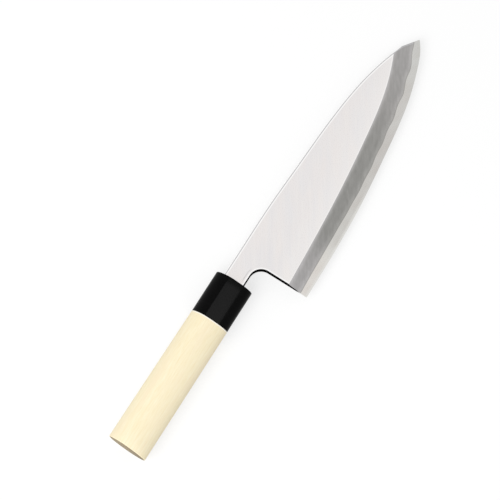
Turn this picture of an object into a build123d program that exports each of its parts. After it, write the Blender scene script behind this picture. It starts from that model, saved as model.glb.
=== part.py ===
from build123d import *
from math import cos, pi, sin, sqrt
import os

os.makedirs("parts", exist_ok=True)

# Deba knife, millimetres. While it is built, X = 0 is the front face of the ferrule,
# +X runs to the tip, +Y to the spine and +Z out of the front of the blade.
# Z = 0 is the back of the blade.

# Driving sizes
blade_length = 225.0  # from the ferrule to the tip
handle_length = 141.0  # wood and ferrule together
heel_setback = 19.2  # from the ferrule to the heel face
heel_height = 57.8  # from the spine down to the edge at the heel
spine_rise = 9.0  # spine above the axis of the handle
neck_height = 16.0
blade_thickness = 10.0  # at the shoulders of the neck, along the spine
grip_height = 29.4  # handle at the ferrule, from its spine side to its edge side
grip_thickness = 24.2  # handle at the ferrule, from back to ridge

# Blade
tip_thickness = 3.0  # what the spine would thin down to at the tip
ridge_thinning = 1.6  # thinner at the ridge line than at the spine, at the heel
notch_radius = 9.5
spine_chamfer = 0.7
notch_chamfer = 0.3  # along the neck's underside, the notch and the heel

# Places along the blade as shares of its length from heel to tip, then how far the spine, the
# ridge line and the edge lie below the straight spine there, as shares of the heel's height.
# Past the row of the break the spine is straight, and the ridge line runs off the blade.
blade_shares = (
    (0.0000, 0.0000, 0.7353, 1.0000),
    (0.1885, 0.0000, 0.6955, 0.9879),
    (0.3732, 0.0249, 0.6436, 0.9524),
    (0.5870, 0.0599, 0.5545, 0.8676),
    (0.7182, 0.1066, 0.4810, 0.8028),
    (0.8299, 0.1834, 0.3772, 0.7163),
    (0.9028, 0.2604, 0.2751, 0.6332),
    (0.9417, 0.3131, 0.2076, 0.5813),
    (0.9660, 0.3730, 0.1609, 0.5389),
    (1.0000, 0.4567, 0.0934, 0.4567),
)
break_row = 7

# Hard steel on the back and at the edge
steel_width = 5.9  # width of hard steel that shows along the edge
wander_length = 116.0  # the forged weld line wanders slowly, more towards the heel
wander_start = 42.0
wander_share = 0.12  # height of that wave, as a share of the steel's thickness
ripple_length = 19.8  # and ripples towards the tip
ripple_start = 10.3
ripple_share = 0.09
weld_step = 4.0  # distance between the points of the weld line
scarf_length = 11.0  # the steel thins out to nothing on the back of the neck

# Hollow in the back
hollow_radius = 780.0  # radius of the wheel that ground it
hollow_half_width = 40.0  # half the width of the cutting segment
spine_rim = 2.8  # flat left along the spine
edge_rim = 2.0  # flat left along the edge
hollow_run_in = 19.0  # the hollow's rounded corner, ahead of the neck
hollow_drop = 5.6  # start of that corner, below the neck's underside
run_in_steps = 5

# Tang
tang_length = 98.0
tang_height = 11.0
tang_thickness = 6.5
tang_end_height = 5.0
tang_end_thickness = 3.2

# Handle and ferrule
butt_height = 30.5
butt_thickness = 25.2
ridge_offset = 3.9  # ridge of the handle, towards the spine from the axis
back_bulge = 12.0  # back of the handle below its widest line, at the ferrule
grip_drop = 0.1  # middle of the handle below the neck's axis
flank_pull = 5.0  # how far the flank beside the ridge follows its end directions
flank_fall_share = 0.36  # slope of that flank at the ridge
butt_chamfer = 0.5
butt_lean = 1.3  # the butt is sawn that much shorter on the spine's side
ferrule_length = 33.0
ferrule_wall = 2.2
ferrule_front_wall = 4.0
ferrule_chamfer = 0.5

# Fits
tenon_clearance = 0.15
slot_clearance = 0.2
tang_clearance = 0.15
overrun = 3.0  # how far cutting shapes reach past what they cut
cutter_height = 20.0
reach_share = 0.35  # how far the bevel's surface reaches past its lines, of their distance
heel_reach_share = 0.15  # how far those lines reach past their ends, of their last step
tip_reach_share = 0.8
level_share = 0.5  # direction component that tells level from upright
middle_share = 0.5

up = (0, 0, 1)
edge_length = blade_length - heel_setback
mid_thickness = blade_thickness / 2
neck_bottom = spine_rise - neck_height
neck_middle = spine_rise - neck_height / 2
shoulder = -ferrule_front_wall - tenon_clearance
distal_slope = (blade_thickness - tip_thickness) / (blade_length - shoulder)
cross_slope = ridge_thinning / (heel_height * blade_shares[0][2])


def front_height(x, y):
    """Height of the flat front of the blade above its back."""
    return blade_thickness - distal_slope * (x - shoulder) - cross_slope * (spine_rise - y)


def blade_points(column):
    """Points (x, y) of one line of the blade: 1 the spine, 2 the ridge line, 3 the edge."""
    return [
        (heel_setback + edge_length * row[0], spine_rise - heel_height * row[column])
        for row in blade_shares
    ]


spine_points = blade_points(1)
ridge_points = blade_points(2)
edge_points = blade_points(3)
tip = Vector(*edge_points[-1])
spine_break = Vector(*spine_points[break_row])


def blade_outline():
    """Side view of neck and blade, left wide along the edge for the bevel to trim."""
    past_tip = tip + (tip - spine_break).normalized() * overrun
    outer_edge = [(x, y - overrun) for x, y in reversed(edge_points)]
    spine = Spline(
        spine_points[1 : break_row + 1],
        tangents=[(1, 0), spine_break - Vector(*spine_points[break_row - 1])],
        tangent_scalars=[1, 1],
    )
    notch = FilletPolyline(
        outer_edge[-1],
        (heel_setback, neck_bottom),
        (shoulder, neck_bottom),
        radius=notch_radius,
    )
    lines = [
        Line((shoulder, spine_rise), spine @ 0),
        spine,
        Line(spine @ 1, past_tip),
        Line(past_tip, outer_edge[0]),
        Spline(outer_edge),
        *notch.edges(),
        Line((shoulder, neck_bottom), (shoulder, spine_rise)),
    ]
    return make_face(lines)


def is_level(edge):
    """Whether an edge runs along the front or the back rather than between them."""
    return abs(edge.tangent_at(middle_share).Z) < level_share


def on_notch(edge):
    """Whether an edge bounds the neck's underside, the notch or the heel."""
    place = edge.center()
    return place.Y < neck_middle and place.X < heel_setback + notch_chamfer


def blade_blank():
    """Neck and blade with their flat faces, distal taper and broken corners."""
    body = extrude(blade_outline(), amount=blade_thickness, dir=up)
    crown = Vector(shoulder, spine_rise, blade_thickness)
    front = Plane(origin=crown, z_dir=(distal_slope, -cross_slope, 1))
    body = split(body, bisect_by=front, keep=Keep.BOTTOM)
    spine_walls = body.faces().filter_by(lambda f: f.normal_at().Y > level_share)
    spine_edges = spine_walls.edges().filter_by(is_level)
    body = chamfer(spine_edges.filter_by(lambda e: e.center().X < spine_break.X), spine_chamfer)
    notch_edges = body.edges().filter_by(is_level).filter_by(on_notch)
    return chamfer(notch_edges, notch_chamfer)


def through(points, knots):
    """Smooth curve that passes each point at a given knot, so that curves can be paired."""
    return Edge.make_spline([Vector(*p) for p in points], parameters=knots)


def lengthened(points):
    """The points with one more added past each end, in line."""
    points = [Vector(*p) for p in points]
    first = points[0] + (points[0] - points[1]) * heel_reach_share
    last = points[-1] + (points[-1] - points[-2]) * tip_reach_share
    return [first, *points, last]


edge_line = lengthened([(x, y, 0) for x, y in edge_points])
ridge_line = lengthened([(x, y, front_height(x, y)) for x, y in ridge_points])
knots = [point.X for point in edge_line]


def bevel_cutter():
    """Everything above the surface ruled from the edge up to the ridge line."""
    above = [r + (r - e) * reach_share for e, r in zip(edge_line, ridge_line)]
    below = [e - (r - e) * reach_share for e, r in zip(edge_line, ridge_line)]
    face = Face.make_surface_from_curves(through(above, knots), through(below, knots))
    return extrude(face, amount=cutter_height, dir=up)


def hollow_cutter():
    """Shallow hollow of the back: one wheel's arc that rises and sinks along the blade."""
    rows = []
    corner_x = heel_setback - overrun
    corner_y = neck_bottom - hollow_drop
    heel_edge = edge_points[0][1] + edge_rim
    for k in range(run_in_steps):
        turn = pi / 2 * k / run_in_steps
        x = corner_x + hollow_run_in * (1 - cos(turn))
        top = corner_y + (spine_rise - spine_rim - corner_y) * sin(turn)
        rows.append((x, top, heel_edge))
    rows.append((corner_x + hollow_run_in, spine_rise - spine_rim, heel_edge))
    for (x, spine_y), (_, edge_y) in zip(spine_points[1:-1], edge_points[1:-1]):
        rows.append((x, spine_y - spine_rim, edge_y + edge_rim))
    sag = hollow_half_width**2 / (2 * hollow_radius)
    sections = []
    for x, top, bottom in rows:
        depth = (top - bottom) ** 2 / (8 * hollow_radius)
        middle = (top + bottom) / 2
        left = Vector(x, middle - hollow_half_width, depth - sag)
        right = Vector(x, middle + hollow_half_width, depth - sag)
        arc = ThreePointArc(left, Vector(x, middle, depth), right)
        sections.append(make_face([arc, Line(right, left)]))
    return loft(sections, ruled=True)


def weld_profile():
    """Side view, along the blade, of all that is hard steel."""
    edge_curve = through(edge_line, knots)
    ridge_curve = through(ridge_line, knots)
    count = round(edge_length / weld_step)
    points = []
    for k in range(count + 1):
        x = heel_setback + edge_length * k / count
        share = (x - knots[0]) / (knots[-1] - knots[0])
        low = edge_curve.position_at(share, position_mode=PositionMode.PARAMETER)
        high = ridge_curve.position_at(share, position_mode=PositionMode.PARAMETER)
        slope = (high.Z - low.Z) / (high.Y - low.Y)
        grown = k / count
        wander = wander_share * (1 - grown) * sin(2 * pi * (x - wander_start) / wander_length)
        ripple = ripple_share * grown**2 * sin(2 * pi * (x - ripple_start) / ripple_length)
        points.append(Vector(x, 0, steel_width * slope * (1 + wander + ripple)))
    scarf_end = Vector(heel_setback - scarf_length, 0, 0)
    foot = scarf_end - (points[0] - scarf_end).normalized() * overrun
    far_top = points[-1] + Vector(overrun, 0, 0)
    far_bottom = Vector(far_top.X, 0, foot.Z)
    outline = [
        Line(foot, points[0]),
        Spline(points),
        Line(points[-1], far_top),
        Line(far_top, far_bottom),
        Line(far_bottom, foot),
    ]
    return make_face(outline)


def bar(x0, x1, middle, start_size, end_size, extra):
    """Bar along X that tapers from one rectangle, height by thickness, to another."""
    faces = []
    for x, (height, thickness) in ((x0, start_size), (x1, end_size)):
        plane = Plane(origin=(x, middle, mid_thickness), x_dir=(0, 1, 0), z_dir=(1, 0, 0))
        faces.append(plane * Rectangle(height + 2 * extra, thickness + 2 * extra))
    return loft(faces, ruled=True)


def tang(extra):
    """Tang behind the shoulders of the neck, or its hole when extra is added all round."""
    root = (tang_height, tang_thickness)
    end = (tang_end_height, tang_end_thickness)
    return bar(shoulder, shoulder - tang_length - extra, neck_middle, root, end, extra)


def blade_pieces():
    """The forge-welded pair: soft iron with neck and tang, and the hard steel layer."""
    body = blade_blank() - bevel_cutter() - hollow_cutter()
    steel_side = extrude(weld_profile(), amount=heel_height, dir=(0, 1, 0), both=True)
    steel = body & steel_side
    iron = (body - steel_side) + tang(0)
    return iron, steel


def grip_section(x, inset, lean=0):
    """Section of the handle at x, an oval with a ridge on its front, that may lean along X."""
    share = (-x - ferrule_length) / (handle_length - ferrule_length)
    grow = max(share, 0)
    height = grip_height + (butt_height - grip_height) * grow
    thickness = grip_thickness + (butt_thickness - grip_thickness) * grow
    bottom = -grip_drop - grip_height / 2 + inset
    top = -grip_drop - grip_height / 2 + height - inset
    back = mid_thickness - back_bulge * thickness / grip_thickness + inset
    front = back - inset + thickness - inset
    middle = (top + bottom) / 2
    ridge = ridge_offset
    corner_weight = sqrt(0.5)

    def at(y, z):
        return Vector(x + lean * (y - bottom) / height, y, z)

    def quarter(start, corner, end):
        return Bezier(start, corner, end, weights=[1, corner_weight, 1])

    spine_side = at(top, mid_thickness)
    edge_side = at(bottom, mid_thickness)
    crest = at(ridge, front)
    pull = flank_pull
    return make_face(
        [
            quarter(spine_side, at(top, back), at(middle, back)),
            quarter(at(middle, back), at(bottom, back), edge_side),
            quarter(edge_side, at(bottom, front), crest),
            Bezier(
                crest,
                at(ridge + pull, front - pull * flank_fall_share),
                at(top, mid_thickness + pull),
                spine_side,
            ),
        ]
    )


def grip_length(x0, x1, inset, lean=0):
    """Length of the handle between two places, drawn in by inset all round."""
    return loft([grip_section(x0, inset), grip_section(x1, inset, lean)], ruled=True)


def handle_wood():
    """Wooden grip with a tenon for the ferrule and the burnt-in hole for the tang."""
    body = grip_length(-ferrule_length, -handle_length, 0, butt_lean)
    body = chamfer(body.faces().sort_by(Axis.X)[0].edges(), butt_chamfer)
    tenon_inset = ferrule_wall + tenon_clearance
    tenon = grip_length(shoulder, -ferrule_length, tenon_inset)
    return body + tenon - tang(tang_clearance)


def ferrule_cap():
    """Moulded cap: closed in front but for the slot that takes the neck."""
    body = grip_length(0, -ferrule_length, 0)
    body = chamfer(body.edges().group_by(Axis.X)[-1], ferrule_chamfer)
    bore = grip_length(-ferrule_front_wall, -ferrule_length - overrun, ferrule_wall)
    neck_size = (neck_height, blade_thickness)
    slot = bar(overrun, shoulder - overrun, neck_middle, neck_size, neck_size, slot_clearance)
    return body - bore - slot


iron, steel = blade_pieces()
pieces = {
    "blade_iron": iron,
    "edge_steel": steel,
    "ferrule": ferrule_cap(),
    "handle": handle_wood(),
}

# The origin moves to the middle of the foot of the whole knife's box.
box = Compound(children=[Compound(p.solids()) for p in pieces.values()]).bounding_box()
origin = Vector((box.min.X + box.max.X) / 2, (box.min.Y + box.max.Y) / 2, box.min.Z)
for name, piece in pieces.items():
    placed = Location(-origin) * piece
    export_step(placed, f"parts/{name}.step")
    print(name, len(placed.solids()), round(placed.volume), placed.is_valid)
print("moved by", -origin)
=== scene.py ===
# %% [markdown]
# # A heavy single-bevel kitchen knife
#
# The knife has four pieces: the soft iron and the hard steel of a forge-welded blade, a black
# moulded ferrule and a pale wooden handle with a ridge. Its solids come from CAD and are loaded
# as a frame that nothing here moves. The two metals keep their CAD shapes, because a ground blade
# is flat faces and sharp lines, and they get finishes that know where the bevel, the weld line
# and the hollow are. The ferrule and the wood are made anew, because moulded and sanded corners
# are softer than those of the solids.

# %% Load the frame
from math import cos, pi, radians, sin

import bmesh
import bpy
from mathutils import Matrix, Vector


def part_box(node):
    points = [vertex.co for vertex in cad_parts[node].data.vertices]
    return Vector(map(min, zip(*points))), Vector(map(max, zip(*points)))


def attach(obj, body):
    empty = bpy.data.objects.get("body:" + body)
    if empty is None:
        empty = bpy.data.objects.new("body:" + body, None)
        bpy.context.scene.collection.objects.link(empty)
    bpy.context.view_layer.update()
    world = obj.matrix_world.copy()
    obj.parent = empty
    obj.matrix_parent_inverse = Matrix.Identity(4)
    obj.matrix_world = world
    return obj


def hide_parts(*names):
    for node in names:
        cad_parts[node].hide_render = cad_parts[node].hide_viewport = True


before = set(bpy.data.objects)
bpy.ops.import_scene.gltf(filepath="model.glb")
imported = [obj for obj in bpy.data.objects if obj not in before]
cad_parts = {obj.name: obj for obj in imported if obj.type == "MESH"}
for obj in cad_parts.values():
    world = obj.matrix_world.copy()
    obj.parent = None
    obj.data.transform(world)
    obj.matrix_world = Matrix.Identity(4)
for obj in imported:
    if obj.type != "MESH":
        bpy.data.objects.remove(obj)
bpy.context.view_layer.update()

print("nodes", sorted(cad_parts))

# %% [markdown]
# ## Where the knife's own zero is
#
# A maker measures a knife from the front of its ferrule, from its back and from the axis of its
# handle. All sizes below are millimetres from there, and the corners of the CAD pieces say where
# that zero lies in the frame: the ferrule ends at x = 0, the back of the blade is z = 0, and the
# spine runs 9 mm above the axis.

# %% Find the zero
MM = 0.001
spine_rise = 9.0
ferrule_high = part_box("ferrule")[1]
iron_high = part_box("blade_iron")[1]
steel_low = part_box("edge_steel")[0]
zero = Vector((ferrule_high.x, iron_high.y - spine_rise * MM, steel_low.z))
print("the knife's zero in mm", [round(1000 * part, 3) for part in zero])

# %% [markdown]
# ## The camera
#
# The photograph was taken from far away with a long lens, a little from the butt's side and from
# the edge's side, so that the butt's end grain and the walls of the finger notch just show. This
# camera was matched to the outline of the knife and stands 1.9 m above it. Its axes are written
# out in full, because with so long a lens a tenth of a degree shifts the picture.

# %% Place the camera
scene = bpy.context.scene
scene.view_settings.view_transform = "Standard"

camera_right = Vector((0.53252659, -0.8461024, 0.02293821))
camera_up = Vector((0.82676519, 0.52577913, 0.20003905))
camera_look = Vector((0.18131395, 0.0875616, -0.97951938))
camera_place = zero + Vector((-324.773, -166.228, 1900.0)) * MM

camera = bpy.data.objects.new("camera", bpy.data.cameras.new("camera"))
axes = Matrix((camera_right, camera_up, -camera_look)).transposed()
camera.matrix_world = Matrix.Translation(camera_place) @ axes.to_4x4()
camera.data.sensor_width = 36.0
camera.data.lens = 195.728
camera.data.clip_start = 0.1
camera.data.clip_end = 20.0
scene.collection.objects.link(camera)
scene.camera = camera
print("camera", round((camera_place - zero).length, 3), "m away")

# %% [markdown]
# ## Two small helpers
#
# Colours are written as the hex values that a picture editor shows, and one function turns them
# to the linear light that Blender works in. The other function adds a node, sets what it is told
# to, and feeds its open inputs in order, or others by name, with values or with other nodes.

# %% Helpers for colours and nodes
def linear(code):
    """RGBA in linear light from a hex colour such as F7E9C9."""
    shares = [int(code[k : k + 2], 16) / 255 for k in (0, 2, 4)]
    return *[s / 12.92 if s <= 0.04045 else ((s + 0.055) / 1.055) ** 2.4 for s in shares], 1.0


def add(tree, kind, *fed, into=None, **settings):
    """Adds a node with its settings; fed goes to its open inputs in order, into by name."""
    node = tree.nodes.new(kind)
    for name, value in settings.items():
        setattr(node, name, value)
    feeds = list(zip([socket for socket in node.inputs if socket.enabled], fed))
    feeds += [(node.inputs[name], value) for name, value in (into or {}).items()]
    for socket, value in feeds:
        if isinstance(value, bpy.types.Node):
            value = next(out for out in value.outputs if out.enabled)
        if isinstance(value, bpy.types.NodeSocket):
            tree.links.new(value, socket)
        else:
            socket.default_value = value
    return node


MATH, VECTOR_MATH, POINT = "ShaderNodeMath", "ShaderNodeVectorMath", "ShaderNodeCombineXYZ"
PARTS, SPREAD, MIX = "ShaderNodeSeparateXYZ", "ShaderNodeMapRange", "ShaderNodeMix"
print("cream in linear light", [round(part, 3) for part in linear("FDF1D2")[:3]])

# %% [markdown]
# ## The handle and the ferrule share one section
#
# The handle is neither round nor eight-sided. Its back is half an oval, its front is a quarter of
# a wider oval up to a ridge, and from the ridge a flank falls to the spine's side, so the fingers
# feel which way the edge points. The wood and the ferrule share that section, and it grows a
# little towards the butt, which was sawn a hair out of square.
#
# It could be a curve that is swept, but a sweep scales everything alike, and the ferrule's wall
# and the chamfers keep their own thickness. So a Geometry Nodes tree does what a copying lathe
# does: it takes a profile, a chain of points that say how far along, how deep under the skin and
# how far drawn in to the middle, and carries each of them round the section. A piece of the
# handle is then no more than its profile.

# %% Name the sizes of the section, in millimetres
section_sizes = {
    "Wood Start": -33.0,
    "Butt End": -141.0,
    "Butt Lean": 1.3,
    "Height At Ferrule": 29.4,
    "Height At Butt": 30.5,
    "Thickness At Ferrule": 24.2,
    "Thickness At Butt": 25.2,
    "Middle Level": 5.0,
    "Bulge Of Back": 12.0,
    "Drop": 0.1,
    "Ridge Offset": 3.9,
    "Flank Pull": 5.0,
    "Flank Fall": 1.8,
}
section = bpy.data.node_groups.new("profile round a ridged section", "GeometryNodeTree")
ports = section.interface
ports.new_socket("Geometry", in_out="INPUT", socket_type="NodeSocketGeometry")
ports.new_socket("Geometry", in_out="OUTPUT", socket_type="NodeSocketGeometry")
ports.new_socket("Points Round", in_out="INPUT", socket_type="NodeSocketInt")
ports.new_socket("Zero", in_out="INPUT", socket_type="NodeSocketVector")
ports.new_socket("Finish", in_out="INPUT", socket_type="NodeSocketMaterial")
for name in section_sizes:
    ports.new_socket(name, in_out="INPUT", socket_type="NodeSocketFloat")
given = add(section, "NodeGroupInput").outputs
print("the tree has", len(given) - 1, "inputs")

# %% [markdown]
# The skin starts as a flat grid, with a row for each point of the profile and a column for each
# step round the section. The index of a grid point tells which row and column it is in, and the
# row's profile point is looked up.

# %% Lay a grid and look up each row's profile point
size = add(section, "GeometryNodeAttributeDomainSize", given["Geometry"])
columns = add(section, MATH, given["Points Round"], 1, operation="ADD")
counts = {"Vertices X": size.outputs["Point Count"], "Vertices Y": columns}
grid = add(section, "GeometryNodeMeshGrid", into=counts)
index = add(section, "GeometryNodeInputIndex")
half_on = add(section, MATH, index, 0.5, operation="ADD")
rows_passed = add(section, MATH, half_on, columns, operation="DIVIDE")
row = add(section, MATH, rows_passed, operation="FLOOR")
passed = add(section, MATH, row, columns, operation="MULTIPLY")
column = add(section, MATH, index, passed, operation="SUBTRACT")
asked = {"Value": add(section, "GeometryNodeInputPosition"), "Index": row}
sample = "GeometryNodeSampleIndex"
station = add(section, sample, given["Geometry"], into=asked, data_type="FLOAT_VECTOR")
along, depth, draw = add(section, PARTS, station).outputs
print(len(section.nodes), "nodes lay the grid")

# %% [markdown]
# The section's own sizes are worked out at that station. The height and the thickness grow from
# the ferrule to the butt, and the depth moves all four sides in by the same amount.

# %% Work out the four sides of the section
grip = given["Wood Start"], given["Butt End"]
heights = given["Height At Ferrule"], given["Height At Butt"]
thicknesses = given["Thickness At Ferrule"], given["Thickness At Butt"]
height = add(section, SPREAD, along, *grip, *heights)
thick = add(section, SPREAD, along, *grip, *thicknesses)
half = add(section, MATH, given["Height At Ferrule"], -0.5, operation="MULTIPLY")
foot = add(section, MATH, half, given["Drop"], operation="SUBTRACT")
bottom = add(section, MATH, foot, depth, operation="ADD")
head = add(section, MATH, foot, height, operation="ADD")
top = add(section, MATH, head, depth, operation="SUBTRACT")
growth = add(section, MATH, thick, given["Thickness At Ferrule"], operation="DIVIDE")
bulge = add(section, MATH, growth, given["Bulge Of Back"], operation="MULTIPLY")
skin_back = add(section, MATH, given["Middle Level"], bulge, operation="SUBTRACT")
back = add(section, MATH, skin_back, depth, operation="ADD")
skin_front = add(section, MATH, skin_back, thick, operation="ADD")
front = add(section, MATH, skin_front, depth, operation="SUBTRACT")
print(len(section.nodes), "nodes so far")

# %% [markdown]
# Going round, the section starts at the spine's side, passes the back and the edge's side, and
# ends over the ridge. Two ovals make three quarters of it.

# %% Draw the ovals
level, ridge = given["Middle Level"], given["Ridge Offset"]
turn = add(section, MATH, column, given["Points Round"], operation="DIVIDE")
angle = add(section, MATH, turn, 2 * pi, operation="MULTIPLY")
cosine = add(section, MATH, angle, operation="COSINE")
sine = add(section, MATH, angle, operation="SINE")


def oval(centre, side, crown):
    """Point of an oval round (centre, middle level) that reaches to one side and to a crown."""
    reach_across = add(section, MATH, side, centre, operation="SUBTRACT")
    reach_up = add(section, MATH, crown, level, operation="SUBTRACT")
    across = add(section, MATH, reach_across, cosine, centre, operation="MULTIPLY_ADD")
    up = add(section, MATH, reach_up, sine, level, operation="MULTIPLY_ADD")
    return add(section, POINT, along, across, up)


both = add(section, MATH, top, bottom, operation="ADD")
middle = add(section, MATH, both, 0.5, operation="MULTIPLY")
back_half = oval(middle, top, back)
beyond = add(section, MATH, ridge, 2, operation="MULTIPLY")
mirrored_bottom = add(section, MATH, beyond, bottom, operation="SUBTRACT")
twice_level = add(section, MATH, level, 2, operation="MULTIPLY")
mirrored_front = add(section, MATH, twice_level, front, operation="SUBTRACT")
front_quarter = oval(ridge, mirrored_bottom, mirrored_front)
print(len(section.nodes), "nodes so far")

# %% [markdown]
# The flank is a curve between four points: the ridge, a point that says how steeply it leaves the
# ridge, one that says how it arrives, and the spine's side. The curve is found by going the same
# share of the way between each two of them, and again between what that gives, until one is left.

# %% Draw the flank
pulled = add(section, MATH, ridge, given["Flank Pull"], operation="ADD")
fallen = add(section, MATH, front, given["Flank Fall"], operation="SUBTRACT")
raised = add(section, MATH, level, given["Flank Pull"], operation="ADD")
bends = [
    add(section, POINT, along, across, up)
    for across, up in ((ridge, front), (pulled, fallen), (top, raised), (top, level))
]
flank_share = add(section, MATH, turn, 4, -3, operation="MULTIPLY_ADD")
while len(bends) > 1:
    pairs = zip(bends, bends[1:])
    bends = [add(section, MIX, flank_share, a, b, data_type="VECTOR") for a, b in pairs]
print(len(section.nodes), "nodes so far")

# %% [markdown]
# Each quarter of the way round takes its own curve, and then the ends are drawn in to their
# middle. The last stations at the butt lean: they move forward with their height, because the
# saw left the handle a little shorter on the spine's side.

# %% Join the quarters, draw in the ends and lean the butt
nearly = add(section, MATH, turn, 1e-5, operation="SUBTRACT", use_clamp=True)
quarter = add(section, MATH, nearly, 4, operation="MULTIPLY")
quarter = add(section, MATH, quarter, operation="FLOOR")
chosen = add(section, "GeometryNodeIndexSwitch", data_type="VECTOR")
chosen.index_switch_items.new()
chosen.index_switch_items.new()
section.links.new(quarter.outputs[0], chosen.inputs[0])
for k, shape in enumerate((back_half, back_half, front_quarter, bends[0])):
    found = next(out for out in shape.outputs if out.enabled)
    section.links.new(found, chosen.inputs[k + 1])

centre = add(section, POINT, along, middle, level)
drawn = add(section, MIX, draw, chosen, centre, data_type="VECTOR")
up_the_butt = add(section, PARTS, drawn).outputs["Y"]
leaning = add(section, SPREAD, up_the_butt, foot, head, 0.0, given["Butt Lean"])
from_butt = add(section, MATH, along, given["Butt End"], operation="SUBTRACT")
near_butt = add(section, SPREAD, from_butt, 5.0, 1.0)
shift = add(section, POINT, add(section, MATH, leaning, near_butt, operation="MULTIPLY"))
leant = add(section, VECTOR_MATH, drawn, shift, operation="ADD")
print(len(section.nodes), "nodes so far")

# %% [markdown]
# At last the skin is scaled to metres and set at the knife's zero, and the seam and the poles are
# closed by merging the points that fall together.

# %% Finish the skin
metres = add(section, VECTOR_MATH, leant, MM, operation="SCALE")
placed = add(section, VECTOR_MATH, metres, given["Zero"], operation="ADD")
skin = add(section, "GeometryNodeSetPosition", grid, into={"Position": placed})
skin = add(section, "GeometryNodeMergeByDistance", skin, into={"Distance": 0.002 * MM})
skin = add(section, "GeometryNodeRealizeInstances", skin)
skin = add(section, "GeometryNodeSetMaterial", skin, into={"Material": given["Finish"]})
add(section, "NodeGroupOutput", skin)
print("the tree has", len(section.nodes), "nodes")

# %% [markdown]
# ## From a profile to a solid
#
# The profile goes into a mesh of its own, the tree turns it into a skin, and the result becomes a
# plain mesh whose object stays at the origin.

# %% Carry a profile round
points_round = 96
given_names = {
    item.name: item.identifier for item in section.interface.items_tree if item.in_out == "INPUT"
}


def plain_mesh(rough):
    """The mesh of an object with its modifiers done, and the object itself gone."""
    seen = rough.evaluated_get(bpy.context.evaluated_depsgraph_get())
    mesh = bpy.data.meshes.new_from_object(seen)
    bpy.data.objects.remove(rough)
    return mesh


def linked(name, mesh):
    """A new object for a mesh, at the origin and in the scene."""
    piece = bpy.data.objects.new(name, mesh)
    scene.collection.objects.link(piece)
    return piece


def carried_round(name, profile, finish):
    """Skin made from a profile of (along, depth, draw-in)."""
    chain = bpy.data.meshes.new(name)
    chain.from_pydata(profile, [(k, k + 1) for k in range(len(profile) - 1)], [])
    rough = linked(name, chain)
    tool = rough.modifiers.new("section", "NODES")
    tool.node_group = section
    for size_name, value in section_sizes.items():
        tool[given_names[size_name]] = value
    tool[given_names["Points Round"]] = points_round
    tool[given_names["Zero"]] = tuple(zero)
    tool[given_names["Finish"]] = finish
    return plain_mesh(rough)


print(points_round, "points round the section")

# %% [markdown]
# The hole for the tang and the slot for the neck are square, not part of the section, so a bar
# with the same taper is cut out. Then the faces are shaded smooth, but for the real corners.

# %% Cut a bar out of a skin
sharp_angle = radians(17)


def tapered_bar(name, stations, middle):
    """Square bar along x through (x, height, thickness) stations, in millimetres."""
    mesh = bmesh.new()
    rings = []
    for x, tall, thick in stations:
        corners = [(y * tall / 2, z * thick / 2) for y, z in ((1, 1), (1, -1), (-1, -1), (-1, 1))]
        places = [zero + Vector((x, middle + y, 5.0 + z)) * MM for y, z in corners]
        rings.append([mesh.verts.new(place) for place in places])
    for one, two in zip(rings, rings[1:]):
        for k in range(4):
            mesh.faces.new((one[k], one[k - 1], two[k - 1], two[k]))
    mesh.faces.new(rings[0])
    mesh.faces.new(rings[-1])
    bmesh.ops.recalc_face_normals(mesh, faces=mesh.faces)
    bar = bpy.data.meshes.new(name)
    mesh.to_mesh(bar)
    mesh.free()
    return bar


def cut_and_smooth(name, skin, bar):
    """The piece with the bar cut out, smooth but for its real corners."""
    mesh = bmesh.new()
    mesh.from_mesh(skin)
    bmesh.ops.recalc_face_normals(mesh, faces=mesh.faces)
    mesh.to_mesh(skin)
    mesh.free()
    rough, cutter = linked(name, skin), linked(name + " cutter", bar)
    cut = rough.modifiers.new("cut", "BOOLEAN")
    cut.operation, cut.solver, cut.object = "DIFFERENCE", "EXACT", cutter
    cut.use_hole_tolerant = False
    solid = plain_mesh(rough)
    bpy.data.objects.remove(cutter)
    solid.polygons.foreach_set("use_smooth", [True] * len(solid.polygons))
    solid.set_sharp_from_angle(angle=sharp_angle)
    return linked(name, solid)


def report_solid(piece):
    """Prints what was made: its faces, whether it is closed, and its volume."""
    check = bmesh.new()
    check.from_mesh(piece.data)
    loose = sum(len(edge.link_faces) != 2 for edge in check.edges)
    volume = round(check.calc_volume(signed=True) / MM**3)
    print(piece.name, len(check.faces), "faces,", loose, "open edges,", volume, "mm3")
    check.free()


# %% [markdown]
# ## The handle
#
# The grip is one length of pale wood. Its butt has a small chamfer whose two edges are sanded
# round, so the profile turns there in steps of 15 degrees, which still shade as one curve. At the
# ferrule the shoulder is eased by a tenth of a millimetre, and with a highlight painted on the wood
# beside it this makes the hairline that shows where wood and ferrule meet. Behind the shoulder the
# tenon goes on, out of sight, with the hole for the tang.

# %% Make the handle
butt, joint, shoulder = -141.0, -33.0, -4.15
eased = 0.12
tenon_depth = 2.35
tang_middle = 1.0
tang_hole = [(shoulder + 1, 11.3, 6.8), (shoulder, 11.3, 6.8), (shoulder - 98.15, 5.3, 3.5)]

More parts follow.
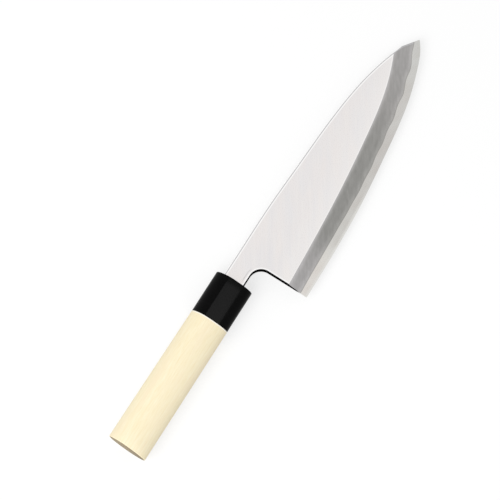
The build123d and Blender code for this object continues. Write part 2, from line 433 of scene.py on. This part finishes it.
# The chamfer and its sanded edges, as headings in degrees and lengths in millimetres
chamfer_steps = ((75, 0.16), (60, 0.16), (45, 0.3), (30, 0.16), (15, 0.16))
deep = sum(length * sin(radians(heading)) for heading, length in chamfer_steps)
grip_start = butt
handle_profile = [(butt, deep, 1), (butt, deep, 0)]
for heading, length in chamfer_steps:
    grip_start += length * cos(radians(heading))
    deep = max(0.0, deep - length * sin(radians(heading)))
    handle_profile.append((grip_start, deep, 0))
grip_steps = 16
grip_step = (joint - eased - grip_start) / grip_steps
handle_profile += [(grip_start + grip_step * k, 0, 0) for k in range(1, grip_steps + 1)]
handle_profile += [
    (joint, eased, 0),
    (joint, tenon_depth, 0),
    (shoulder, tenon_depth, 0),
    (shoulder, tenon_depth, 1),
]
grip_skin = carried_round("grip", handle_profile, None)
hole = tapered_bar("tang hole", tang_hole, tang_middle)
handle = cut_and_smooth("magnolia_grip", grip_skin, hole)
report_solid(handle)

# %% [markdown]
# ## The ferrule
#
# The ferrule is a moulded cap. Its profile starts inside, at the middle of the front wall, runs
# back along the bore, turns round the rear rim, comes forward along the skin and closes the front.
# The front corner is a small radius, as a mould leaves it. Then the slot for the neck is cut.

# %% Make the ferrule
front_wall = 4.0
wall = 2.2
corner = 0.6
neck_slot = [(1, 16.4, 10.4), (-front_wall - 1, 16.4, 10.4)]

ferrule_profile = [
    (-front_wall, wall, 1),
    (-front_wall, wall, 0),
    (joint, wall, 0),
    (joint, eased, 0),
    (joint + eased, 0, 0),
]
skin_steps = 6
skin_step = (-corner - joint - eased) / skin_steps
ferrule_profile += [(joint + eased + skin_step * k, 0, 0) for k in range(1, skin_steps + 1)]
ferrule_profile += [
    (-corner + corner * sin(a), corner - corner * cos(a), 0)
    for a in (k * pi / 12 for k in range(1, 7))
]
ferrule_profile += [(0, corner, 1)]
cap_skin = carried_round("cap", ferrule_profile, None)
slot = tapered_bar("neck slot", neck_slot, tang_middle)
ferrule = cut_and_smooth("moulded_cap", cap_skin, slot)
report_solid(ferrule)

# %% [markdown]
# ## Where a point lies on the knife
#
# The metals, the resin and the wood all have patterns that follow the knife: streaks across the
# blade, rings along the handle. So each material first finds its place on the knife, in the
# maker's millimetres, from Object coordinates. Those stay with the piece however it is turned.

# %% Helpers for places and streaks
MAPPING, NOISE = "ShaderNodeMapping", "ShaderNodeTexNoise"
TONES = {"data_type": "RGBA"}
SOFT = {"interpolation_type": "SMOOTHSTEP"}


def new_finish(name):
    """A material, its node tree and its shader."""
    finish = bpy.data.materials.new(name)
    finish.use_nodes = True
    return finish, finish.node_tree, finish.node_tree.nodes["Principled BSDF"]


def knife_place(tree):
    """Place on the knife in millimetres, and its parts and those of the facing direction."""
    coords = add(tree, "ShaderNodeTexCoord").outputs
    moved = {"Location": -zero / MM, "Scale": (1 / MM,) * 3}
    place = add(tree, MAPPING, coords["Object"], into=moved)
    return place, add(tree, PARTS, place).outputs, add(tree, PARTS, coords["Normal"]).outputs


def streaks(tree, place, heading, length, width, detail=2.0):
    """Long soft marks at a heading in the plane of the blade, from 0 to 1, mostly near a half."""
    turned = add(tree, MAPPING, place, into={"Rotation": (0, 0, -heading)})
    grain = {"Scale": (1 / length, 1 / width, 1 / width)}
    drawn = add(tree, MAPPING, turned, into=grain)
    marks = add(tree, NOISE, drawn, into={"Scale": 1.0, "Detail": detail})
    return add(tree, SPREAD, marks.outputs[0], 0.3, 0.7)


print("the place on the knife is found from Object coordinates")

# %% [markdown]
# ## The lines of the blade
#
# The front of the blade is one plane. The bevel runs from the ridge line down to the edge, and its
# slope falls from the heel to the tip. On it the height above the back, divided by the slope, is
# the distance from the edge.

# %% Work out the slope of the bevel
blade_length, heel_setback, heel_height = 225.0, 19.2, 57.8
blade_thickness, distal_slope, cross_slope = 10.0, 0.030548, 0.037646
# Share of the way from heel to tip, then spine, ridge line and edge, as shares of the height
blade_shares = (
    (0.0000, 0.0000, 0.7353, 1.0000),
    (0.1885, 0.0000, 0.6955, 0.9879),
    (0.3732, 0.0249, 0.6436, 0.9524),
    (0.5870, 0.0599, 0.5545, 0.8676),
    (0.7182, 0.1066, 0.4810, 0.8028),
    (0.8299, 0.1834, 0.3772, 0.7163),
    (0.9028, 0.2604, 0.2751, 0.6332),
    (0.9417, 0.3131, 0.2076, 0.5813),
    (0.9660, 0.3730, 0.1609, 0.5389),
    (1.0000, 0.4567, 0.0934, 0.4567),
)
slope_stops, ridge_stops, spine_stops = [], [], []
for share, to_spine, to_ridge, to_edge in blade_shares:
    x = heel_setback + share * (blade_length - heel_setback)
    sunk = distal_slope * (x - shoulder) + cross_slope * heel_height * to_ridge
    slope = (blade_thickness - sunk) / (heel_height * (to_edge - to_ridge))
    slope_stops.append((x / blade_length, slope))
    ridge_stops.append((x / blade_length, to_ridge))
    spine_stops.append((x / blade_length, to_spine))
print("bevel slopes", [round(slope, 3) for _, slope in slope_stops])

# %% [markdown]
# The forge-weld line lies about 6 mm up from the edge. It wanders slowly near the heel, and it
# ripples towards the tip, where the smith drew the steel out. The line that is seen was measured
# 0.2 mm nearer to the edge than that of the solids, with stronger ripples, and is drawn as it was
# measured. Carbon that crept over the weld may be why, which is a guess. A finish needs to know
# few distances: how deep a point lies under the front plane, how far below the ridge line and the
# spine, how far from the edge, and how far above the weld line.

# %% Give the metals the lines of the blade
steel_width = 5.7  # as seen, where the solids have 5.9
wander_start, wander_length, wander_share = 42.0, 116.0, 0.12
ripple_start, ripple_length, ripple_share = 10.3, 19.8, 0.14


def curve_along(tree, share, stops):
    """Value that follows a smooth curve through (share of the blade's length, value) stops."""
    follows = add(tree, "ShaderNodeFloatCurve", into={"Value": share})
    curve = follows.mapping.curves[0]
    curve.points[0].location = (0.0, stops[0][1])
    curve.points[1].location = stops[-1]
    for stop in stops[:-1]:
        curve.points.new(*stop)
    follows.mapping.update()
    return follows


def below(tree, share, stops, y):
    """How far a point lies below a line that is given as shares of the blade's height."""
    sunk = curve_along(tree, share, stops)
    line = add(tree, MATH, sunk, -heel_height, spine_rise, operation="MULTIPLY_ADD")
    return add(tree, MATH, line, y, operation="SUBTRACT")


def weld_width(tree, x):
    """Width of hard steel that shows along the edge, with its slow wander and its ripples."""
    along_edge = add(tree, MATH, x, heel_setback, operation="SUBTRACT")
    grown = add(tree, MATH, along_edge, blade_length - heel_setback, operation="DIVIDE")
    left = add(tree, MATH, 1.0, grown, operation="SUBTRACT")
    squared = add(tree, MATH, grown, grown, operation="MULTIPLY")
    width = 1.0
    for start, length, height, share in (
        (wander_start, wander_length, wander_share, left),
        (ripple_start, ripple_length, ripple_share, squared),
    ):
        phase = add(tree, MATH, x, start, operation="SUBTRACT")
        phase = add(tree, MATH, phase, 2 * pi / length, operation="MULTIPLY")
        wave = add(tree, MATH, phase, operation="SINE")
        wave = add(tree, MATH, wave, height, operation="MULTIPLY")
        width = add(tree, MATH, wave, share, width, operation="MULTIPLY_ADD")
    return add(tree, MATH, width, steel_width, operation="MULTIPLY")


def blade_lines(tree, place, parts):
    """Share of the length, depth under the front, and distances from ridge, edge and weld."""
    x, y, z = parts
    crown = blade_thickness + distal_slope * shoulder - cross_slope * spine_rise
    tilt = (distal_slope, -cross_slope, 1.0)
    risen = add(tree, VECTOR_MATH, place, tilt, operation="DOT_PRODUCT").outputs["Value"]
    under_front = add(tree, MATH, crown, risen, operation="SUBTRACT")
    share = add(tree, MATH, x, blade_length, operation="DIVIDE")
    below_ridge = below(tree, share, ridge_stops, y)
    from_edge = add(tree, MATH, z, curve_along(tree, share, slope_stops), operation="DIVIDE")
    above_weld = add(tree, MATH, from_edge, weld_width(tree, x), operation="SUBTRACT")
    return share, under_front, below_ridge, from_edge, above_weld


def tone_along(tree, share, stops, patches, tint, depth):
    """Tone that changes slowly along the blade, with patches that are darker by a tint."""
    ramp = add(tree, "ShaderNodeValToRGB", share)
    while len(ramp.color_ramp.elements) < len(stops):
        ramp.color_ramp.elements.new(0.5)
    for element, (x, code) in zip(ramp.color_ramp.elements, stops):
        element.position = x / blade_length
        element.color = linear(code)
    patchy = add(tree, MATH, patches, depth, operation="MULTIPLY")
    tinted = {**TONES, "blend_type": "MULTIPLY"}
    return add(tree, MIX, patchy, ramp.outputs["Color"], linear(tint), **tinted)


print("the weld line lies", steel_width, "mm from the edge")

# %% [markdown]
# ## Soft iron, satin on the front
#
# The cladding is nearly pure iron, ground on a fine belt. On the flat front that leaves a bright
# satin with faint streaks across the blade, some a little warm and some cool. Iron has no colour
# of its own, so metallic is 1 and the pale grey does the work. The real scratches of a 400 grit
# belt are 0.03 mm wide, too fine to show, so the streaks are drawn as bundles 1.5 to 7 mm wide.

# %% Make the iron's finish: the front
grind_heading = radians(32.5)
iron, tree, iron_surface = new_finish("satin ground soft iron")
place, parts, facing = knife_place(tree)
share, under_front, below_ridge, from_edge, above_weld = blade_lines(tree, place, parts)

patches = streaks(tree, place, grind_heading, 30.0, 7.0)
scratches = streaks(tree, place, grind_heading, 24.0, 1.5, 3.0)
flat = add(tree, MIX, patches, linear("E8E3E1"), linear("E3E1E2"), **TONES)
fine = add(tree, MATH, scratches, 0.4, operation="MULTIPLY")
flat = add(tree, MIX, fine, flat, linear("E9E6E4"), **TONES)
near_tip = add(tree, SPREAD, share, 0.77, 0.84, 0.0, 0.6, **SOFT)
flat = add(tree, MIX, near_tip, flat, linear("E2DFDE"), **TONES)
near_ridge = add(tree, SPREAD, below_ridge, -16.0, 0.0, 0.0, 0.5)
flat = add(tree, MIX, near_ridge, flat, linear("EEEBE9"), **TONES)
print(iron.name, "has", len(tree.nodes), "nodes for its front")

# %% [markdown]
# The front's outline is painted brighter than its middle, a painted highlight: along the spine and
# the notch the last millimetre was eased by hand and the shine on it is painted, and the ridge line
# gets a fainter painted highlight. The notch is a rounded corner, so the distance from it is that
# of a rounded box: what lies outside the box's inner corner, less the radius.

# %% Make the iron's finish: the painted highlight along the outline
neck_bottom, notch_radius = -7.0, 9.5
inner_corner = (heel_setback - notch_radius, neck_bottom - notch_radius, 0.0)
beside = add(tree, VECTOR_MATH, place, inner_corner, operation="SUBTRACT")
beside = add(tree, VECTOR_MATH, beside, (0.0, 0.0, 0.0), operation="MAXIMUM")
beside = add(tree, VECTOR_MATH, beside, (1.0, 1.0, 0.0), operation="MULTIPLY")
beside = add(tree, VECTOR_MATH, beside, operation="LENGTH").outputs["Value"]
from_notch = add(tree, MATH, beside, notch_radius, operation="SUBTRACT")
from_spine = below(tree, share, spine_stops, parts["Y"])
spine_inset = 0.8  # the dark line along the spine lies outside this bright one
inside_corner = add(tree, MATH, from_spine, spine_inset, operation="SUBTRACT")
nearest = add(tree, MATH, from_notch, inside_corner, operation="MINIMUM")
# painted highlight along the eased spine and the notch, and a fainter one along the ridge line
painted_outline_highlight = add(tree, SPREAD, nearest, 1.5, 1.0, 0.0, 0.85, **SOFT)
painted_ridge_highlight = add(tree, SPREAD, below_ridge, -0.9, -0.2, 0.0, 0.4, **SOFT)
painted_outline_highlight = add(tree, MATH, painted_outline_highlight, painted_ridge_highlight, operation="MAXIMUM")
flat = add(tree, MIX, painted_outline_highlight, flat, linear("FAF9F8"), **TONES)
print("the notch is rounded to", notch_radius, "mm")

# %% [markdown]
# The bevel is rubbed on a soft stone, which leaves the iron a dull grey haze. Across the bevel it
# is darkest in the middle, where the stone pressed least, and paler along the ridge, where the iron
# is rubbed bright, and the belt's streaks still show through it. Along the blade the grey is
# lighter at the heel and towards the tip and darker between, which is a painted reflection of the
# room.

# %% Make the iron's finish: the haze of the bevel and its painted reflection
# the grey is the stone's haze; how it changes along the blade is a painted reflection
haze_and_reflection_stops = (
    (20, "BAB8B8"),
    (48, "B2B0AF"),
    (66, "A1A09D"),
    (140, "A2A19E"),
    (168, "ADABA9"),
    (215, "B5B3B2"),
)
cloudy = streaks(tree, place, grind_heading, 7.0, 1.8, 3.0)
haze = tone_along(tree, share, haze_and_reflection_stops, cloudy, "D2D2D1", 0.4)
off_weld = add(tree, SPREAD, above_weld, 0.8, 4.0, **SOFT)
off_ridge = add(tree, SPREAD, below_ridge, 0.8, 3.4, 0.0, 0.75, **SOFT)
least = add(tree, MATH, off_weld, off_ridge, operation="MULTIPLY")
tinted = {**TONES, "blend_type": "MULTIPLY"}
haze = add(tree, MIX, least, haze, linear("E6E6E6"), **tinted)
rubbed = add(tree, SPREAD, below_ridge, 1.9, 0.2, 0.0, 0.6, **SOFT)
haze = add(tree, MIX, rubbed, haze, linear("BDBBBC"), **TONES)
weld_shade = add(tree, SPREAD, above_weld, 0.9, 0.1, 0.0, 0.4, **SOFT)
haze = add(tree, MIX, weld_shade, haze, linear("8A8883"), **TONES)
crept = add(tree, SPREAD, above_weld, 0.1, -0.1, 0.0, 0.9, **SOFT)
haze = add(tree, MIX, crept, haze, linear("BFBEB9"), **TONES)
on_bevel = add(tree, SPREAD, under_front, 0.02, 0.05, **SOFT)
iron_tone = add(tree, MIX, on_bevel, flat, haze, **TONES)
print(iron.name, "has", len(tree.nodes), "nodes with its bevel")

# %% [markdown]
# A thin dark line was measured about 1 mm inside the solids' outline along the spine. It is drawn
# there as a painted dark reflection: the place where a corner that was eased by hand starts to turn
# away and mirrors the darker side of the room, with the pale room mirrored beyond it. The solids'
# spine may as well lie that much too high. The chamfers are painted near white, a painted
# highlight. The spine's wall shows the belt's marks. In the finger notch and on the heel the black
# scale of the forge is left, which is an oxide and no metal, so metallic is 0 there. Along the neck
# a faint darker line is painted where its corner rolls off, a painted shade of a crease that the
# solids leave out.

# %% Make the iron's finish: spine, notch and neck
on_corner = add(tree, SPREAD, facing["Z"], 0.82, 0.76, **SOFT)
# the chamfers are painted near white, a painted highlight; the same facing mask also marks the
# walls below
iron_tone = add(tree, MIX, on_corner, iron_tone, linear("FAF9F8"), **TONES)
# painted dark reflection along the spine, where the eased corner turns away
dark_reflection_starts = add(tree, SPREAD, from_spine, 1.3, 1.05, **SOFT)
dark_reflection_ends = add(tree, SPREAD, from_spine, 0.45, 0.65, **SOFT)
painted_dark_reflection = add(tree, MATH, dark_reflection_starts, dark_reflection_ends, operation="MULTIPLY")
iron_tone = add(tree, MIX, painted_dark_reflection, iron_tone, linear("BDBCBE"), **TONES)
on_wall = add(tree, SPREAD, facing["Z"], 0.6, 0.4, **SOFT)
faces_spine = add(tree, SPREAD, facing["Y"], 0.3, 0.6, **SOFT)
lengthwise = streaks(tree, place, 0.0, 45.0, 1.1, 4.0)
spine_wall = add(tree, MIX, lengthwise, linear("8F8E8E"), linear("C9C8C7"), **TONES)
off_spine = add(tree, MATH, 1.0, faces_spine, operation="SUBTRACT")
scaled = add(tree, MATH, on_corner, off_spine, operation="MULTIPLY")
iron_tone = add(tree, MIX, on_wall, iron_tone, spine_wall, **TONES)
iron_tone = add(tree, MIX, scaled, iron_tone, linear("0E0D0C"), **TONES)
bare = add(tree, MATH, 1.0, scaled, operation="SUBTRACT")

# painted shade of a crease along the neck, where its corner rolls off
painted_crease_shade = add(tree, MATH, from_notch, 2.5, operation="SUBTRACT")
painted_crease_shade = add(tree, MATH, painted_crease_shade, operation="ABSOLUTE")
painted_crease_shade = add(tree, SPREAD, painted_crease_shade, 0.6, 0.1, 0.0, 0.4, **SOFT)
crease_shade_from = add(tree, SPREAD, parts["X"], 2.0, 6.0, **SOFT)
crease_shade_to = add(tree, SPREAD, parts["X"], 16.0, 11.0, **SOFT)
crease_shade_part = add(tree, MATH, crease_shade_from, crease_shade_to, operation="MULTIPLY")
painted_crease_shade = add(tree, MATH, painted_crease_shade, crease_shade_part, operation="MULTIPLY")
iron_tone = add(tree, MIX, painted_crease_shade, iron_tone, linear("A9A7A7"), **TONES)
print(iron.name, "has", len(tree.nodes), "nodes with its walls")

# %% [markdown]
# The roughness is that of a 400 grit finish on the front and of a 1000 grit stone's haze on the
# bevel, which scatters more because the stone's mud rolls. The scratches also bend the light a
# little, so they go into the bump.

# %% Make the iron's finish: shine
iron_surface.inputs["Specular IOR Level"].default_value = 0.0
rough = add(tree, SPREAD, on_bevel, 0.0, 1.0, 0.24, 0.42)
rough = add(tree, MATH, scratches, 0.05, rough, operation="MULTIPLY_ADD")
relief = {"Strength": 0.04, "Distance": 0.05 * MM, "Height": scratches}
bump = add(tree, "ShaderNodeBump", into=relief)
tree.links.new(bare.outputs[0], iron_surface.inputs["Metallic"])
tree.links.new(iron_tone.outputs[2], iron_surface.inputs["Base Color"])
tree.links.new(rough.outputs[0], iron_surface.inputs["Roughness"])
tree.links.new(bump.outputs[0], iron_surface.inputs["Normal"])
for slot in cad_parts["blade_iron"].material_slots:
    slot.material = iron
print(iron.name, len(tree.nodes), "nodes in all")

# %% [markdown]
# ## Hard steel, honed
#
# The edge is a high-carbon steel. It is far harder than the iron, so the same stone polishes it to
# a paler, cleaner grey, and the weld line between the two is crisp. Along the blade the grey is
# lighter at the heel and darker further on, which is a painted reflection of the room. The last two
# millimetres were set on a fine stone, and near the heel they are painted brighter, a painted
# highlight. Some patches of the steel look a little warmer than others.

# %% Make the steel's finish: the honed edge
steel, tree, steel_surface = new_finish("honed high-carbon steel")
place, parts, facing = knife_place(tree)
share, under_front, below_ridge, from_edge, above_weld = blade_lines(tree, place, parts)

# the grey is the honed steel; how it changes along the blade is a painted reflection
honed_and_reflection_stops = (
    (20, "DEDBD7"),
    (48, "D9D6D1"),
    (66, "CBCAC6"),
    (130, "C6C4C1"),
    (180, "CAC9C6"),
    (215, "C9C9C6"),
)
warm_patches = streaks(tree, place, radians(-20), 16.0, 9.0, 1.0)
honing = streaks(tree, place, radians(-8), 30.0, 0.9, 3.0)
honed = tone_along(tree, share, honed_and_reflection_stops, warm_patches, "F1ECE9", 0.6)
faint = add(tree, MATH, honing, 0.1, operation="MULTIPLY")
honed = add(tree, MIX, faint, honed, linear("E4E3DF"), **TONES)
# painted highlight on the last two millimetres of the edge, near the heel only
painted_edge_highlight = add(tree, SPREAD, from_edge, 2.3, 0.6, 0.0, 0.7, **SOFT)
near_heel = add(tree, SPREAD, parts["X"], 118.0, 88.0, **SOFT)
painted_edge_highlight = add(tree, MATH, painted_edge_highlight, near_heel, operation="MULTIPLY")
honed = add(tree, MIX, painted_edge_highlight, honed, linear("DFDEDA"), **TONES)
behind = add(tree, SPREAD, above_weld, -0.1, 0.1, 0.0, 0.9, **SOFT)
honed = add(tree, MIX, behind, honed, linear("92908D"), **TONES)
print(steel.name, "has", len(tree.nodes), "nodes for its edge")

# %% [markdown]
# On the back the wheel left the hollow with marks across the blade, inside flat rims that the
# stone has polished. Under the notch and behind the heel the steel's wall has the forge's scale
# too, and only at the heel's corner it is ground bright.

# %% Make the steel's finish: back, walls and shine
across = streaks(tree, place, radians(84), 30.0, 0.8, 4.0)
hollow = add(tree, MIX, across, linear("A9A9A6"), linear("CFCFCC"), **TONES)
rims = add(tree, MIX, honing, linear("D9D9D6"), linear("EAEAE8"), **TONES)
in_hollow = add(tree, SPREAD, parts["Z"], 0.004, 0.03, **SOFT)
back_tone = add(tree, MIX, in_hollow, rims, hollow, **TONES)
on_back = add(tree, SPREAD, facing["Z"], -0.8, -0.9, **SOFT)

upright = add(tree, MATH, facing["Z"], operation="ABSOLUTE")
on_wall = add(tree, SPREAD, upright, 0.6, 0.4, **SOFT)
wall_tone = add(tree, MIX, honing, linear("D9D8D5"), linear("F2F1EE"), **TONES)
above_corner = add(tree, SPREAD, parts["Y"], -43.5, -40.0, **SOFT)
off_spine = add(tree, SPREAD, facing["Y"], 0.5, 0.0, **SOFT)
scaled = add(tree, MATH, above_corner, off_spine, operation="MULTIPLY")
scaled = add(tree, MATH, scaled, on_wall, operation="MULTIPLY")
steel_tone = add(tree, MIX, on_wall, honed, wall_tone, **TONES)
steel_tone = add(tree, MIX, on_back, steel_tone, back_tone, **TONES)
steel_tone = add(tree, MIX, scaled, steel_tone, linear("0E0D0C"), **TONES)
bare = add(tree, MATH, 1.0, scaled, operation="SUBTRACT")

steel_surface.inputs["Specular IOR Level"].default_value = 0.0
rough = add(tree, MATH, honing, 0.08, 0.24, operation="MULTIPLY_ADD")
relief = {"Strength": 0.03, "Distance": 0.05 * MM, "Height": honing}
bump = add(tree, "ShaderNodeBump", into=relief)
tree.links.new(bare.outputs[0], steel_surface.inputs["Metallic"])
tree.links.new(steel_tone.outputs[2], steel_surface.inputs["Base Color"])
tree.links.new(rough.outputs[0], steel_surface.inputs["Roughness"])
tree.links.new(bump.outputs[0], steel_surface.inputs["Normal"])
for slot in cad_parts["edge_steel"].material_slots:
    slot.material = steel
print(steel.name, len(tree.nodes), "nodes in all")

# %% [markdown]
# ## Black moulded resin
#
# The ferrule is black phenolic resin, moulded and buffed. It has a deep, nearly black body under
# a soft gloss, and its surface is not quite true: where the resin shrank in the mould it waves by
# a few hundredths of a millimetre, which bends the reflections. Fine buffing marks run round it.

# %% Make the resin's finish
resin, tree, surface = new_finish("buffed black phenolic resin")
place, parts, facing = knife_place(tree)
buffed = streaks(tree, place, radians(90), 14.0, 0.8, 3.0)
black = add(tree, MIX, buffed, linear("040404"), linear("090909"), **TONES)
rough = add(tree, MATH, buffed, 0.06, 0.16, operation="MULTIPLY_ADD")
shrunk = add(tree, NOISE, place, into={"Scale": 0.12, "Detail": 1.0})
relief = {"Strength": 0.15, "Distance": 0.1 * MM, "Height": shrunk.outputs[0]}
bump = add(tree, "ShaderNodeBump", into=relief)
surface.inputs["IOR"].default_value = 1.5
surface.inputs["Specular IOR Level"].default_value = 0.03
tree.links.new(black.outputs[2], surface.inputs["Base Color"])
tree.links.new(rough.outputs[0], surface.inputs["Roughness"])
tree.links.new(bump.outputs[0], surface.inputs["Normal"])
ferrule.data.materials.clear()
ferrule.data.materials.append(resin)
print(resin.name, len(tree.nodes), "nodes")

# %% [markdown]
# ## Sanded magnolia
#
# Magnolia is the light, even wood that these handles are made of. It is sanded and left
# unvarnished, so it is matt and almost cream. The billet was sawn from the outer part of a log:
# its growth rings are wide arcs round a pith far outside the handle, and on the long faces they
# show as faint straight lines. A ring is about 3 mm wide, and it ends in a thin line of denser
# late wood.

# %% Make the wood's finish: the growth rings
wood, tree, surface = new_finish("sanded magnolia")
place, parts, facing = knife_place(tree)
bent = add(tree, MAPPING, place, into={"Scale": (0.012, 0.05, 0.05)})
bent = add(tree, NOISE, bent, into={"Scale": 1.0, "Detail": 1.0})
from_pith = add(tree, MAPPING, place, into={"Rotation": (0.0, 0.012, 0.02)})
pith = {"Location": (0.0, 46.0, 30.0), "Scale": (0.0, 1.0, 1.0)}
from_pith = add(tree, MAPPING, from_pith, into=pith)
radius = add(tree, VECTOR_MATH, from_pith, operation="LENGTH").outputs["Value"]
radius = add(tree, MATH, bent.outputs[0], 5.0, radius, operation="MULTIPLY_ADD")
ring = add(tree, MATH, radius, 2.9, operation="DIVIDE")
ring = add(tree, MATH, ring, operation="FRACT")
rise = add(tree, SPREAD, ring, 0.45, 0.93, **SOFT)
fall = add(tree, SPREAD, ring, 1.0, 0.94, **SOFT)
late = add(tree, MATH, rise, fall, operation="MULTIPLY")
print(wood.name, "has", len(tree.nodes), "nodes for its rings")

# %% [markdown]
# Between the rings there are fibres, too fine to show one by one, so they are drawn as bundles a
# millimetre wide, a few open vessels, and slow patches of warmer wood. Beside the ferrule a thin
# band of the wood is painted paler, a painted highlight on its eased shoulder. On the butt the same
# rings appear as arcs, and the cut ends of the fibres look browner and darker, partly as real end
# grain does and partly as painted shade, and they are painted darker still towards the edge's side,
# which is painted shade.

# %% Make the wood's finish: fibres, end grain and shine
fibre = add(tree, MAPPING, place, into={"Scale": (0.1, 1.0, 1.0)})
fibre = add(tree, NOISE, fibre, into={"Scale": 1.1, "Detail": 4.0, "Roughness": 0.6})
fibre = add(tree, SPREAD, fibre.outputs[0], 0.3, 0.7)
long_tone = add(tree, MIX, fibre, linear("F8EAC4"), linear("FDF3D5"), **TONES)
faint_late = add(tree, MATH, late, 0.14, operation="MULTIPLY")
long_tone = add(tree, MIX, faint_late, long_tone, linear("EFDDB2"), **TONES)
patch = add(tree, MAPPING, place, into={"Scale": (0.02, 0.09, 0.09)})
patch = add(tree, NOISE, patch, into={"Scale": 1.0, "Detail": 2.0})
warmer = add(tree, SPREAD, patch.outputs[0], 0.45, 0.75, 0.0, 0.6, **SOFT)
long_tone = add(tree, MIX, warmer, long_tone, linear("FAEACB"), **TONES)
vessel = add(tree, MAPPING, place, into={"Scale": (0.12, 1.6, 1.6)})
vessel = add(tree, NOISE, vessel, into={"Scale": 1.0, "Detail": 1.0})
open_vessel = add(tree, SPREAD, vessel.outputs[0], 0.66, 0.74, 0.0, 0.15, **SOFT)
long_tone = add(tree, MIX, open_vessel, long_tone, linear("DCC79A"), **TONES)
from_joint = add(tree, MATH, joint, parts["X"], operation="SUBTRACT")
# painted highlight on the wood beside the ferrule
painted_joint_highlight = add(tree, SPREAD, from_joint, 1.1, 0.6, 0.0, 0.9, **SOFT)
long_tone = add(tree, MIX, painted_joint_highlight, long_tone, linear("FFFBF0"), **TONES)

pores = add(tree, NOISE, place, into={"Scale": 1.8, "Detail": 2.0})
pores = add(tree, SPREAD, pores.outputs[0], 0.35, 0.65, **SOFT)
# end grain tones, darker than the real wood would be: partly its own colour, partly painted shade
end_grain_and_painted_shade = add(tree, MIX, pores, linear("96876A"), linear("AB9B7C"), **TONES)
end_grain_and_painted_shade = add(tree, MIX, late, end_grain_and_painted_shade, linear("85755A"), **TONES)
# painted shade, darker towards the edge's side of the butt
painted_shade_to_edge_side = add(tree, SPREAD, parts["Y"], 3.0, -9.0, 0.0, 0.55, **SOFT)
end_grain_and_painted_shade = add(tree, MIX, painted_shade_to_edge_side, end_grain_and_painted_shade, linear("7F7158"), **TONES)
on_end = add(tree, SPREAD, facing["X"], -0.8, -0.95, **SOFT)
wood_tone = add(tree, MIX, on_end, long_tone, end_grain_and_painted_shade, **TONES)

rough = add(tree, MATH, fibre, -0.12, 0.68, operation="MULTIPLY_ADD")
relief = {"Strength": 0.2, "Distance": 0.06 * MM, "Height": fibre}
bump = add(tree, "ShaderNodeBump", into=relief)
surface.inputs["IOR"].default_value = 1.5
surface.inputs["Specular IOR Level"].default_value = 0.25
tree.links.new(wood_tone.outputs[2], surface.inputs["Base Color"])
tree.links.new(rough.outputs[0], surface.inputs["Roughness"])
tree.links.new(bump.outputs[0], surface.inputs["Normal"])
handle.data.materials.clear()
handle.data.materials.append(wood)
print(wood.name, len(tree.nodes), "nodes")

# %% [markdown]
# ## The floor
#
# The photograph is a cut-out on white. A plain pale floor stands in for it. It is matt white
# paper, and seen by the camera or in a reflection about half of its light is its own, so that it
# is white there, yet it keeps the soft shadow of the knife.

# %% Make the floor
floor_side = 3.0
corners = [(x * floor_side, y * floor_side, 0.0) for x, y in ((-1, -1), (1, -1), (1, 1), (-1, 1))]
floor_mesh = bpy.data.meshes.new("floor")
floor_mesh.from_pydata(corners, [], [(0, 1, 2, 3)])
floor = linked("floor", floor_mesh)
paper = bpy.data.materials.new("matt white paper")
paper.use_nodes = True
tree = paper.node_tree
tree.nodes.clear()
seen = add(tree, "ShaderNodeLightPath").outputs
direct = add(tree, MATH, seen["Is Camera Ray"], seen["Is Glossy Ray"], operation="MAXIMUM")
direct = add(tree, MATH, direct, seen["Is Transmission Ray"], operation="MAXIMUM")
shade = add(tree, MIX, direct, linear("E4E4E4"), linear("989898"), **TONES)
lit = add(tree, "ShaderNodeBsdfDiffuse", shade)
own_light = add(tree, MATH, direct, 0.7, operation="MULTIPLY")
glow = add(tree, "ShaderNodeEmission", linear("FFFFFF"), own_light)
add(tree, "ShaderNodeOutputMaterial", add(tree, "ShaderNodeAddShader", lit, glow))
floor_mesh.materials.append(paper)
print("floor", 2 * floor_side, "m wide")

# %% [markdown]
# ## The light
#
# The light is plain: an even pale sky and one large soft lamp from above the butt, where no part
# of the blade mirrors it. A small soft lamp close above draws the strip of light beside the ridge
# of the ferrule. A photographer holds a black card beside such a lamp to keep it off the polished
# blade, and here it is linked to the ferrule alone.

# %% Light the studio
world = bpy.data.worlds.new("studio")
scene.world = world
world.use_nodes = True
tree = world.node_tree
tree.nodes.clear()
seen = add(tree, "ShaderNodeLightPath").outputs
direct = add(tree, MATH, seen["Is Camera Ray"], seen["Is Glossy Ray"], operation="MAXIMUM")
direct = add(tree, MATH, direct, seen["Is Transmission Ray"], operation="MAXIMUM")
strength = add(tree, SPREAD, direct, 0.0, 1.0, 0.6, 1.0)
sky = add(tree, "ShaderNodeBackground", linear("FFFFFF"), strength)
add(tree, "ShaderNodeOutputWorld", sky)

lamps = (
    ("key lamp", (-1.20, 0.30, 1.47), (0.0, 0.0, 0.0), 1.4, 1.4, 22.5),
    ("ridge lamp", (0.0125, -0.18, 0.575), (0.0125, 0.0165, 0.02), 0.145, 0.68, 1.7),
)
for name, where, aim, wide, tall, watts in lamps:
    lamp = bpy.data.lights.new(name, "AREA")
    lamp.shape = "RECTANGLE"
    lamp.size, lamp.size_y = wide, tall
    lamp.energy = watts
    holder = bpy.data.objects.new(name, lamp)
    holder.visible_camera = False
    holder.location = where
    holder.rotation_euler = (Vector(aim) - Vector(where)).to_track_quat("-Z", "Y").to_euler()
    scene.collection.objects.link(holder)
    print(name, watts, "W")
card = bpy.data.collections.new("what the ridge lamp lights")
card.objects.link(ferrule)
holder.light_linking.receiver_collection = card

# %% [markdown]
# ## Attach the pieces
#
# The handle and the ferrule ride on the knife's one body and stand in for their CAD solids, which
# are hidden.

# %% Attach the pieces
for piece, node, slot_name in ((handle, "handle", "wood"), (ferrule, "ferrule", "moulded_ferrule")):
    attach(piece, "root")
    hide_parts(node)
